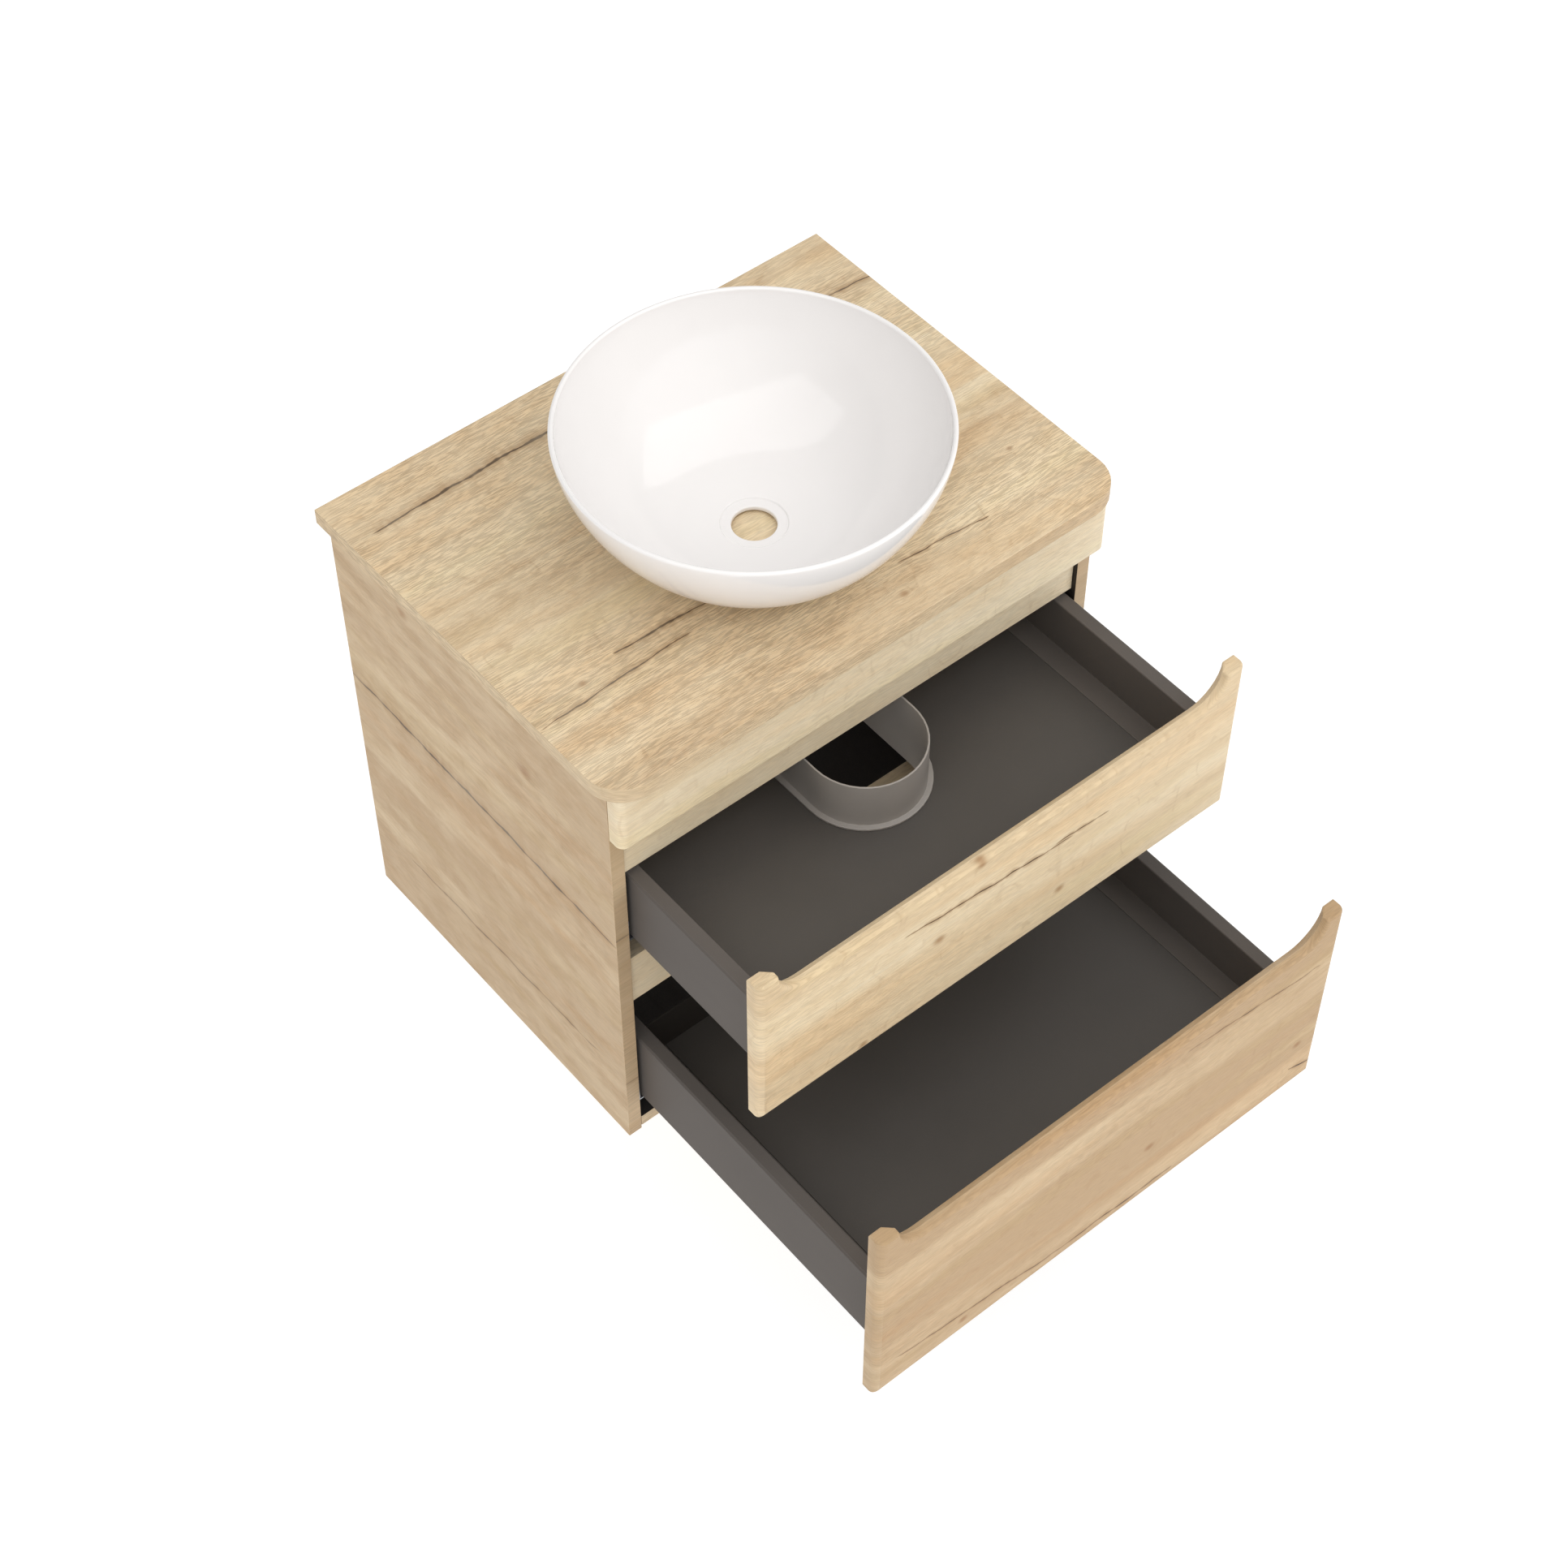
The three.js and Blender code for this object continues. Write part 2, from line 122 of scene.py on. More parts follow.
# ---- node graphs --------------------------------------------------------------
class Value:
    """A number that varies over a surface or a mesh; arithmetic on it adds Math nodes."""

    def __init__(self, graph, socket):
        self.graph = graph
        self.socket = socket

    def math(self, operation, *others):
        return self.graph.math(operation, self, *others)

    def __add__(self, other):
        return self.math("ADD", other)

    def __sub__(self, other):
        return self.math("SUBTRACT", other)

    def __rsub__(self, other):
        return self.graph.math("SUBTRACT", other, self)

    def __mul__(self, other):
        return self.math("MULTIPLY", other)

    def __truediv__(self, other):
        return self.math("DIVIDE", other)

    def __pow__(self, other):
        return self.math("POWER", other)

    def __rpow__(self, other):
        return self.graph.math("POWER", other, self)

    __radd__ = __add__
    __rmul__ = __mul__


class Graph:
    """Adds nodes to one node tree."""

    def __init__(self, tree):
        self.tree = tree
        tree.nodes.clear()

    def node(self, kind, settings=None, inputs=None):
        """Adds a node: its settings first, then the values or links of its sockets."""
        node = self.tree.nodes.new(kind)
        for name, setting in (settings or {}).items():
            if name == "stops":
                self.set_stops(node.color_ramp, setting)
            else:
                setattr(node, name, setting)
        for key, value in (inputs or {}).items():
            if isinstance(value, Value):
                self.tree.links.new(value.socket, node.inputs[key])
            else:
                node.inputs[key].default_value = value
        return node

    @staticmethod
    def set_stops(ramp, stops):
        while len(ramp.elements) < len(stops):
            ramp.elements.new(1.0)
        for element, (position, color) in zip(ramp.elements, stops):
            element.position = position
            element.color = (*color, 1.0)

    def out(self, node, key=0):
        return Value(self, node.outputs[key])

    def math(self, operation, *values):
        node = self.node("ShaderNodeMath", {"operation": operation}, dict(enumerate(values)))
        return self.out(node)

    def vector(self, x=0.0, y=0.0, z=0.0):
        return self.out(self.node("ShaderNodeCombineXYZ", inputs={"X": x, "Y": y, "Z": z}))

    def split(self, vector):
        node = self.node("ShaderNodeSeparateXYZ", inputs={0: vector})
        return self.out(node, "X"), self.out(node, "Y"), self.out(node, "Z")

    def smooth(self, value, low, high, start=0.0, end=1.0):
        """Eases from start to end while value goes from low to high."""
        sockets = {"Value": value, "From Min": low, "From Max": high, "To Min": start, "To Max": end}
        node = self.node("ShaderNodeMapRange", {"interpolation_type": "SMOOTHSTEP"}, sockets)
        return self.out(node)

    def noise(self, vector, scale=1.0, detail=2.0, roughness=0.5):
        sockets = {"Vector": vector, "Scale": scale, "Detail": detail, "Roughness": roughness}
        return self.out(self.node("ShaderNodeTexNoise", inputs=sockets))

    def mix(self, factor, first, second, blend="MIX"):
        """Mixes two colours; a plain colour is a linear (red, green, blue)."""
        pair = [c if isinstance(c, Value) else (*c, 1.0) for c in (first, second)]
        sockets = {0: factor, 6: pair[0], 7: pair[1]}
        node = self.node("ShaderNodeMix", {"data_type": "RGBA", "blend_type": blend}, sockets)
        return self.out(node, 2)

    def ramp(self, value, stops):
        return self.out(self.node("ShaderNodeValToRGB", {"stops": stops}, {0: value}), "Color")

    def bump(self, height, strength, distance):
        sockets = {"Strength": strength, "Distance": distance, "Height": height}
        return self.out(self.node("ShaderNodeBump", inputs=sockets))

    def here(self):
        """Object coordinates, in metres."""
        return self.out(self.node("ShaderNodeTexCoord"), "Object")

    def attribute(self, name, key):
        return self.out(self.node("ShaderNodeAttribute", {"attribute_name": name}), key)


def finish_material(name, build):
    """A material whose Principled sockets are what build(graph) returns."""
    material = bpy.data.materials.new(name)
    material.use_nodes = True
    graph = Graph(material.node_tree)
    shader = graph.node("ShaderNodeBsdfPrincipled", inputs=build(graph))
    graph.node("ShaderNodeOutputMaterial", inputs={"Surface": graph.out(shader)})
    return material


# ---- oak ----------------------------------------------------------------------
def highest(first, second):
    """The larger of two masks, where the first may be missing."""
    return second if first is None else first.math("MAXIMUM", second)


def shape_knots(graph, u, v, knots):
    """Bends the grain round each knot (u, v, radius), and returns the bent v and the knots' mask."""
    mask = None
    for knot_u, knot_v, size in knots:
        across = (v - knot_v) / size
        along = (u - knot_u) / (size * 1.3)
        distance = (across * across + along * along).math("SQRT")
        push = math.e ** (distance * distance * -0.35)
        v = v + across * push * (size * -0.55)
        mask = highest(mask, graph.smooth(distance, 0.1, 1.1, 0.62, 0.0))
    return v, mask


def draw_cracks(graph, u, v, cracks):
    """Dark hairline cracks (u, v, u, v, half width): their lines, and the stain beside them."""
    drift = graph.noise(graph.vector(u * 18.0, v * 6.0), detail=3.0) - 0.5
    swell = graph.smooth(graph.noise(graph.vector(u * 48.0, 3.0)), 0.32, 0.66, 0.25, 1.25)
    lines = stain = None
    for start_u, start_v, end_u, end_v, width in cracks:
        part = (u - start_u) / (end_u - start_u)
        centre = part * (end_v - start_v) + start_v + drift * (12 * MM)
        inside = (part * (1 - part) * 4.0).math("MAXIMUM", 0.0)
        half = inside ** 0.5 * swell * width + 0.02 * MM
        off = (v - centre).math("ABSOLUTE") / half
        shown = graph.smooth(inside, 0.0, 0.12)
        lines = highest(lines, graph.smooth(off, 0.4, 1.0, 1.0, 0.0) * shown)
        stain = highest(stain, graph.smooth(off, 0.0, 6.0, 0.55, 0.0) * shown)
    return lines, stain


def stretched_noise(graph, u, v, depth):
    """Noise drawn out along the grain, from its features per metre along and across it."""

    def noise(along, across, shift=0.0, detail=2.0, roughness=0.5):
        slice_depth = depth + shift if shift else depth
        place = graph.vector(u * along, v * across, slice_depth)
        return graph.noise(place, detail=detail, roughness=roughness)

    return noise


def oak_material(context, name, seed, pores, lift=0.0, cracks=(), knots=()):
    """Light oak decor. pores is how open the grain lies, and lift makes the whole board paler, darker
    below zero: on the fixed front and the rails lift is painted light, on the side panels painted shade.
    Cracks and knots lie in grain space: u along the grain and v across it, in metres."""
    settings = context.scene.vanity_oak
    keys = ("light", "middle", "dark", "palest", "stain", "crack", "knot", "tape", "lining")
    wood = {key: tuple(getattr(settings, key)) for key in keys}
    soft = 1.0 - pores

    def build(graph):
        u, v, layer = graph.split(graph.attribute("grain", "Vector"))
        edge = graph.attribute("edge", "Fac")
        taped = graph.smooth(layer, 0.4, 0.6)
        lined = graph.smooth(layer, 1.4, 1.6)
        depth = layer * 3.1 + seed
        v, spots = shape_knots(graph, u, v, knots)
        straight = stretched_noise(graph, u, v, depth)
        flow = v + (straight(3.0, 8.0) - 0.5) * (18 * MM)
        flowing = stretched_noise(graph, u, flow, depth)

        # Bands and streaks of lighter and darker wood, some of them warmer or greener.
        broad = flowing(1.2, 12.0)
        bands = flowing(1.8, 50.0, detail=3.0, roughness=0.6)
        streaks = flowing(5.0, 270.0, roughness=0.6)
        cloud = straight(22.0, 42.0, 7.0, 3.0, 0.6)
        tone = (broad - 0.5) * (0.50 + 0.20 * soft) + (bands - 0.5) * (0.44 - 0.34 * soft) + 0.5
        # lift shifts the whole board paler or darker: painted light on the fixed front and the rails,
        # painted shade on the side panels.
        tone = tone + (streaks - 0.5) * (0.14 - 0.08 * soft) + (cloud - 0.5) * 0.14 + lift
        stops = ((0.30, "dark"), (0.45, "middle"), (0.60, "light"), (0.76, "palest"))
        color = graph.ramp(tone, [(position, wood[key]) for position, key in stops])
        hue = flowing(1.6, 20.0, 4.0)
        warm = graph.smooth(hue, 0.52, 0.68, 0.0, 0.8)
        green = graph.smooth(hue, 0.32, 0.48, 0.8, 0.0)
        color = graph.mix(warm, color, (1.0, 0.93, 0.85), "MULTIPLY")
        color = graph.mix(green, color, (0.99, 0.99, 0.92), "MULTIPLY")

        # Fibres, open vessels and ray flecks.
        open_grain = graph.smooth(straight(2.5, 7.0, 2.0), 0.35, 0.6, 0.45, 1.0)
        fibre = (graph.smooth(flowing(72.0, 780.0, detail=1.0), 0.38, 0.60) - 0.55) * open_grain
        gain = fibre * (taped * 0.25 + 0.37 * pores) + 1.0
        color = graph.mix(1.0, color, graph.vector(gain, gain, gain), "MULTIPLY")
        vessel = graph.smooth(flowing(80.0, 1700.0, detail=1.0), 0.60, 0.72)
        color = graph.mix(vessel * (0.15 + 0.25 * pores), color, wood["dark"])
        ray = straight(55.0, 30.0, 9.0, 0.0)
        rare = graph.smooth(straight(34.0, 40.0, 5.0), 0.54, 0.64)
        mirror = graph.smooth((ray - 0.5).math("ABSOLUTE"), 0.01, 0.07, 1.0, 0.0) * rare
        color = graph.mix(mirror * (0.10 + 0.10 * pores), color, wood["stain"])
        height = fibre * 1.6 + streaks * 0.3 - vessel * 0.4

        if cracks:
            lines, stain = draw_cracks(graph, u, v, cracks)
            color = graph.mix(stain, color, wood["stain"])
            color = graph.mix(lines * 0.92, color, wood["crack"])
            height = height - lines * 1.4
        if knots:
            color = graph.mix(spots, color, wood["knot"])

        # Rubbed edges, the glued band and the dark lining.
        rubbed = edge * graph.smooth(cloud, 0.35, 0.65, 0.1, 0.4)
        color = graph.mix(rubbed, color, wood["palest"])
        color = graph.mix(taped * 0.45, color, wood["tape"])
        pebble = graph.noise(graph.here(), 900.0, 3.0, 0.6)
        lining = graph.mix(graph.smooth(pebble, 0.4, 0.75) * 0.03, wood["lining"], wood["dark"])
        color = graph.mix(lined, color, lining)
        return {
            "Base Color": color,
            "Roughness": 0.50 + streaks * 0.14 + vessel * 0.08,
            "Normal": graph.bump(height * (1 - lined) + pebble * lined, 0.35 * pores + 0.08, 0.5 * MM),
            "Specular IOR Level": 0.32,
        }

    return finish_material(name, build)


# ---- other finishes -----------------------------------------------------------
def ceramic_material(context):
    """White glazed fireclay: a thin glassy coat over faintly uneven clay."""
    base = tuple(context.scene.vanity_basin.glaze)

    def build(graph):
        place = graph.here()
        pool = graph.noise(place, 9.0, 2.0)
        skin = graph.noise(place, 160.0, 2.0)
        speck = graph.smooth(graph.noise(place, 900.0, 1.0), 0.74, 0.80)
        color = graph.mix(graph.smooth(pool, 0.3, 0.7), base, tuple(c * 0.985 for c in base))
        color = graph.mix(speck * 0.08, color, linear(206, 198, 188))
        return {
            "Base Color": color,
            "Roughness": 0.07 + pool * 0.05,
            "Normal": graph.bump(skin * 0.3 + pool, 0.04, 0.6 * MM),
            "Coat Weight": 0.15,
            "Coat Roughness": 0.04,
        }

    return finish_material("glazed_ceramic", build)


def metal_paint_material(name, color, roughness=0.42):
    """Powder-coated steel: fine orange-peel skin, a little lighter along its edges, partly as wear and
    partly as a painted highlight on the arrises.
    """

    def build(graph):
        place = graph.here()
        x, y, z = graph.split(place)
        skin = graph.noise(place, 1400.0, 2.0, 0.7)
        peel = graph.noise(place, 320.0, 1.0)
        drift = graph.noise(place, 5.0, 3.0)
        haze = graph.noise(graph.vector(x * 6.0, y * 1.5, z * 6.0), 1.0, 4.0, 0.6)
        lighter = tuple(min(1.0, c * 1.75) for c in color)
        paint = graph.mix(graph.smooth(drift, 0.3, 0.7, 0.0, 0.12), color, lighter)
        paint = graph.mix(graph.smooth(skin, 0.5, 0.8) * 0.16, paint, lighter)
        # Paler along the rounded edges: partly wear, partly a painted highlight on the arrises.
        edge = graph.attribute("edge", "Fac") * graph.smooth(haze, 0.35, 0.6, 0.25, 0.6)
        paint = graph.mix(edge, paint, lighter)
        return {
            "Base Color": paint,
            "Roughness": roughness + haze * 0.12 - 0.06 + skin * 0.06,
            "Normal": graph.bump(skin * 0.6 + peel * 0.4, 0.16, 0.2 * MM),
            "Specular IOR Level": 0.04,
        }

    return finish_material(name, build)


def board_material(name, color):
    """Dark melamine board: faintly pebbled, with a cloudy sheen painted into its colour as paler clouds,
    where its roughness also varies, and a little dust.
    """

    def build(graph):
        place = graph.here()
        pebble = graph.noise(place, 900.0, 3.0, 0.6)
        cloud = graph.noise(place, 7.0, 3.0, 0.55)
        dust = graph.smooth(graph.noise(place, 2600.0, 1.0), 0.70, 0.80)
        lighter = tuple(c * 1.4 for c in color)
        # The paler clouds are painted sheen; the pebbling and dust are the board's own.
        face = graph.mix(graph.smooth(cloud, 0.3, 0.7, 0.0, 0.22), color, lighter)
        face = graph.mix(graph.smooth(pebble, 0.45, 0.75) * 0.14, face, lighter)
        face = graph.mix(dust * 0.10, face, linear(150, 146, 140))
        return {
            "Base Color": face,
            "Roughness": 0.46 + cloud * 0.10,
            "Normal": graph.bump(pebble, 0.14, 0.3 * MM),
            "Specular IOR Level": 0.45,
        }

    return finish_material(name, build)


def plastic_material(name, color, roughness):
    """Moulded plastic with a fine spark-eroded skin and slightly polished, smoother edges, which are
    also painted paler as a highlight.
    """

    def build(graph):
        place = graph.here()
        spark = graph.noise(place, 2100.0, 2.0, 0.6)
        flow = graph.noise(place, 24.0, 2.0)
        edge = graph.attribute("edge", "Fac")
        lighter = tuple(min(1.0, c * 1.5) for c in color)
        shade = graph.mix(graph.smooth(flow, 0.3, 0.7, 0.0, 0.18), color, lighter)
        # The fine skin makes it a little paler in specks, and the rounded edges are painted paler as a
        # highlight on the rims.
        shade = graph.mix(graph.smooth(spark, 0.5, 0.8) * 0.12 + edge * 0.4, shade, lighter)
        return {
            "Base Color": shade,
            "Roughness": roughness - edge * 0.12 + spark * 0.08,
            "Normal": graph.bump(spark, 0.12, 0.2 * MM),
            "Specular IOR Level": 0.5,
        }

    return finish_material(name, build)


def zinc_material():
    """Galvanised sheet: faint spangle, drawn lines and dull white bloom."""
    bright, dull = linear(190, 195, 202), linear(138, 142, 148)

    def build(graph):
        place = graph.here()
        cells = graph.node("ShaderNodeTexVoronoi", inputs={"Vector": place, "Scale": 190.0})
        spangle = graph.split(graph.out(cells, "Color"))[0]
        x, y, z = graph.split(place)
        drawn = graph.noise(graph.vector(x * 900.0, y * 7.0, z * 900.0), 1.0, 2.0)
        bloom = graph.smooth(graph.noise(place, 45.0, 4.0, 0.6), 0.5, 0.7)
        metal = graph.mix(spangle * 0.5 + drawn * 0.4, dull, bright)
        metal = graph.mix(bloom * 0.35, metal, linear(172, 172, 168))
        return {
            "Base Color": metal,
            "Metallic": 0.95 - bloom * 0.35,
            "Roughness": 0.26 + spangle * 0.12 + bloom * 0.18,
            "Normal": graph.bump(drawn * 0.5 + spangle * 0.2, 0.12, 0.2 * MM),
        }

    return finish_material("zinc_sheet", build)


def silicone_material():
    """Pale silicone bead with a soft skin."""

    def build(graph):
        place = graph.here()
        skin = graph.noise(place, 420.0, 3.0)
        tone = graph.mix(graph.smooth(skin, 0.3, 0.7), linear(222, 222, 218), linear(234, 234, 231))
        return {
            "Base Color": tone,
            "Roughness": 0.52 + skin * 0.12,
            "Normal": graph.bump(skin, 0.2, 0.3 * MM),
        }

    return finish_material("silicone", build)


# ---- pieces from CAD nodes ----------------------------------------------------
def around_outline(point, half, front, radius):
    """Distance along a board's outline, rounded at its two front corners, from its front's middle."""
    side = math.copysign(1.0, point.x)
    centre_x = half - radius
    centre_y = front + radius
    x = abs(point.x)
    if point.y > centre_y:
        run = centre_x + radius * math.pi / 2 + point.y - centre_y
    elif x < centre_x:
        run = x
    else:
        run = centre_x + radius * math.atan2(x - centre_x, centre_y - point.y)
    return side * run


def board_grain(axis, lined=None):
    """Grain along one axis (0 or 1) on the faces, going on over the edges. Faces that look along
    the direction lined are dark lining."""

    def place(point, normal, up, size):
        if lined and normal.dot(lined) > 0.9:
            return point[axis], point.z, LINING
        thin = max(range(3), key=lambda i: abs(normal[i]))
        flat = min(range(3), key=lambda i: size[i])
        if thin == flat:
            across = 3 - axis - thin
            return point[axis], point[across], FACE
        if thin == axis:
            return point[flat] * 0.4, point[3 - axis - flat], EDGE
        return point[axis], point[flat] * 0.6, EDGE

    return place


def wrapped_grain(node, radius, tape):
    """Grain along X that follows a rounded board round its front corners. With tape the top and
    bottom are faces and the outline is an edge band; without it the whole board is one face."""
    low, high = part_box(node)
    half, front = high.x, low.y

    def place(point, normal, up, size):
        if abs(normal.z) > 0.6 and tape:
            return point.x, point.y, FACE
        run = around_outline(point, half, front, radius)
        if tape:
            return run, point.z, EDGE
        return run, point.z - up * (point.y - front), FACE

    return place


def round_edges(bm, edges, width, segments):
    """Rounds these edges, and returns the new faces."""
    result = bmesh.ops.bevel(
        bm, geom=edges, offset=width, offset_type="OFFSET", segments=segments, profile=0.5,
        affect="EDGES", clamp_overlap=True,
    )
    return set(result["faces"])


def crown_edges(bm, width):
    """Gives the rim of the topmost faces its own larger rounding."""
    top = max(vert.co.z for vert in bm.verts) - 0.1 * MM
    rim = [e for e in bm.edges if all(v.co.z > top for v in e.verts) and e.calc_face_angle(0.0) > 0.1]
    round_edges(bm, rim, width, 4)


def mark_edges(bm, rounded):
    """Marks rounded edges for the materials, which paint them paler as wear and as a highlight: 1 inside
    a rounding and 0.5 on its border.
    """
    layer = bm.verts.layers.float.new("edge")
    for face in rounded:
        for vert in face.verts:
            vert[layer] = 0.5
    for vert in bm.verts:
        if vert.link_faces and all(face in rounded for face in vert.link_faces):
            vert[layer] = 1.0


def map_grain(bm, size, grain):
    """Writes the grain coordinates of every face corner; up is how far it looks upwards."""
    layer = bm.loops.layers.float_vector.new("grain")
    for face in bm.faces:
        for loop in face.loops:
            up = max(0.0, min(1.0, loop.vert.normal.z * 1.4))
            loop[layer] = grain(loop.vert.co, face.normal, up, size)


def soften(node, name, width, segments=2, grain=None, crown=0.0):
    """A copy of a CAD node with its sharp edges rounded, its grain mapped and its edges marked.
    crown is the larger rounding of the rim of its topmost faces."""
    bm = bmesh.new()
    bm.from_mesh(frame["nodes"][node].data)
    bmesh.ops.remove_doubles(bm, verts=bm.verts, dist=WELD_DISTANCE)
    bmesh.ops.dissolve_limit(bm, angle_limit=FLAT_ANGLE, verts=bm.verts, edges=bm.edges)
    if crown:
        crown_edges(bm, crown)
    sharp = [e for e in bm.edges if e.is_manifold and e.calc_face_angle(0.0) > SHARP_ANGLE]
    rounded = round_edges(bm, sharp, width, segments)
    bm.normal_update()
    mark_edges(bm, rounded)
    for face in bm.faces:
        face.smooth = True
    if grain:
        low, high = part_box(node)
        map_grain(bm, high - low, grain)
    mesh = bpy.data.meshes.new(name)
    bm.to_mesh(mesh)
    bm.free()
    piece = bpy.data.objects.new(name, mesh)
    bpy.context.scene.collection.objects.link(piece)
    weight = piece.modifiers.new("weighted_normals", "WEIGHTED_NORMAL")
    weight.mode = "FACE_AREA"
    weight.weight = 80
    apply_modifiers(piece)
    return piece


def apply_modifiers(piece):
    """Turns the evaluated object into a plain mesh and removes its modifiers."""
    bpy.context.view_layer.update()
    graph = bpy.context.evaluated_depsgraph_get()
    mesh = bpy.data.meshes.new_from_object(piece.evaluated_get(graph), depsgraph=graph)
    mesh.name = piece.name
    piece.modifiers.clear()
    old = piece.data
    piece.data = mesh
    if old.users == 0:
        bpy.data.meshes.remove(old)


def dress(piece, node, slot, material):
    """Gives a finished piece its material and body, and hides the CAD node it stands for; slot is not
    used.
    """
    piece.data.materials.clear()
    piece.data.materials.append(material)
    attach(piece, BODY_OF[node])
    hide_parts(node)


def skin(node, name, slot, material, width, segments=2, grain=None, crown=0.0):
    """The finished copy of one CAD node, riding its body."""
    dress(soften(node, name, width, segments, grain, crown), node, slot, material)


# ---- settings -----------------------------------------------------------------
def color_setting(name, description, rgb):
    return bpy.props.FloatVectorProperty(
        name=name, description=description, subtype="COLOR", size=3, min=0.0, max=1.0,
        default=linear(*rgb),
    )


def length_setting(name, description, default, low, high):
    return bpy.props.FloatProperty(
        name=name, description=description, default=default, min=low, max=high, subtype="DISTANCE",
        unit="LENGTH",
    )


def light_setting(name, description, default):
    return bpy.props.FloatProperty(
        name=name, description=description, default=default, min=0.0, max=20.0
    )


class OakSettings(bpy.types.PropertyGroup):
    light: color_setting("Light wood", "Pale wood between the bands", (224, 203, 168))
    middle: color_setting("Middle wood", "Main tone of the oak", (208, 183, 147))
    dark: color_setting("Dark wood", "Darker bands and open pores", (184, 155, 119))
    palest: color_setting("Palest wood", "Palest streaks and rubbed edges", (234, 219, 190))
    stain: color_setting("Stain", "Wood beside cracks, and ray flecks", (160, 122, 80))
    knot: color_setting("Knot", "Hearts of knots", (146, 98, 50))
    crack: color_setting("Crack", "Depth of cracks", (72, 52, 34))
    tape: color_setting("Edge band", "Band glued round the edges", (190, 165, 132))
    lining: color_setting("Lining", "Dark melamine on the inner faces of the cabinet", (44, 40, 38))
    board_edge: length_setting("Board edge", "Rounding of a board's edges", 0.6 * MM, 0.0001, 0.003)


class BasinSettings(bpy.types.PropertyGroup):
    glaze: color_setting("Glaze", "Colour of the glazed basin", (239, 236, 234))
    wall: length_setting("Wall", "Thickness of the basin's wall", 5 * MM, 0.002, 0.02)
    foot: length_setting("Foot radius", "Outer radius of the basin's foot", 60 * MM, 0.03, 0.12)
    floor: length_setting("Floor", "Height of the floor over the countertop", 13 * MM, 0.01, 0.03)
    hole: length_setting("Drain radius", "Radius of the drain hole", 22 * MM, 0.015, 0.03)
    recess: length_setting("Recess radius", "Radius of the recess round the drain", 32 * MM, 0.02, 0.05)
    turns: bpy.props.IntProperty(
        name="Steps round", description="Facets round the basin", default=160, min=24, max=360
    )


class DrawerSettings(bpy.types.PropertyGroup):
    paint: color_setting("Drawer paint", "Powder coat of the drawer sides", (89, 84, 80))
    floor: color_setting("Drawer floor", "Melamine of the drawer floors", (76, 72, 68))
    collar: color_setting("Siphon collar", "Plastic of the siphon collar", (152, 147, 142))
    # The back plates are given a very dark colour so that they read as the deep shade behind the
    # drawers: painted shade.
    back: color_setting("Drawer back", "Paint of the back plates", (46, 43, 40))
    sheet_edge: length_setting("Sheet edge", "Rounding of folded sheet", 0.5 * MM, 0.0001, 0.002)


class ScrewSettings(bpy.types.PropertyGroup):
    head: length_setting("Head radius", "Radius of a screw's head", 3.4 * MM, 0.001, 0.01)
    height: length_setting("Head height", "How far a screw's head stands proud", 1.3 * MM, 0.0003, 0.005)
    cross: length_setting("Cross length", "Length of the cross recess", 3.6 * MM, 0.001, 0.01)
    pitch: length_setting("Screw pitch", "Distance between screws along a runner", 128 * MM, 0.03, 0.3)


class StudioSettings(bpy.types.PropertyGroup):
    floor_gap: length_setting("Floor gap", "Air between the cabinet and the floor", 0.28, 0.0, 2.0)
    sky: light_setting("Sky", "Radiance of the white surroundings", 0.60)
    front: light_setting("Front glow", "Extra radiance of the surroundings in front", 1.1)
    side_shade: light_setting("Side shade", "How much darker the surroundings are on the left", 0.08)
    overhead: light_setting("Overhead", "Radiance of the overhead softbox", 1.05)
    paper: light_setting("Paper", "Glow of the white paper on the floor", 0.72)


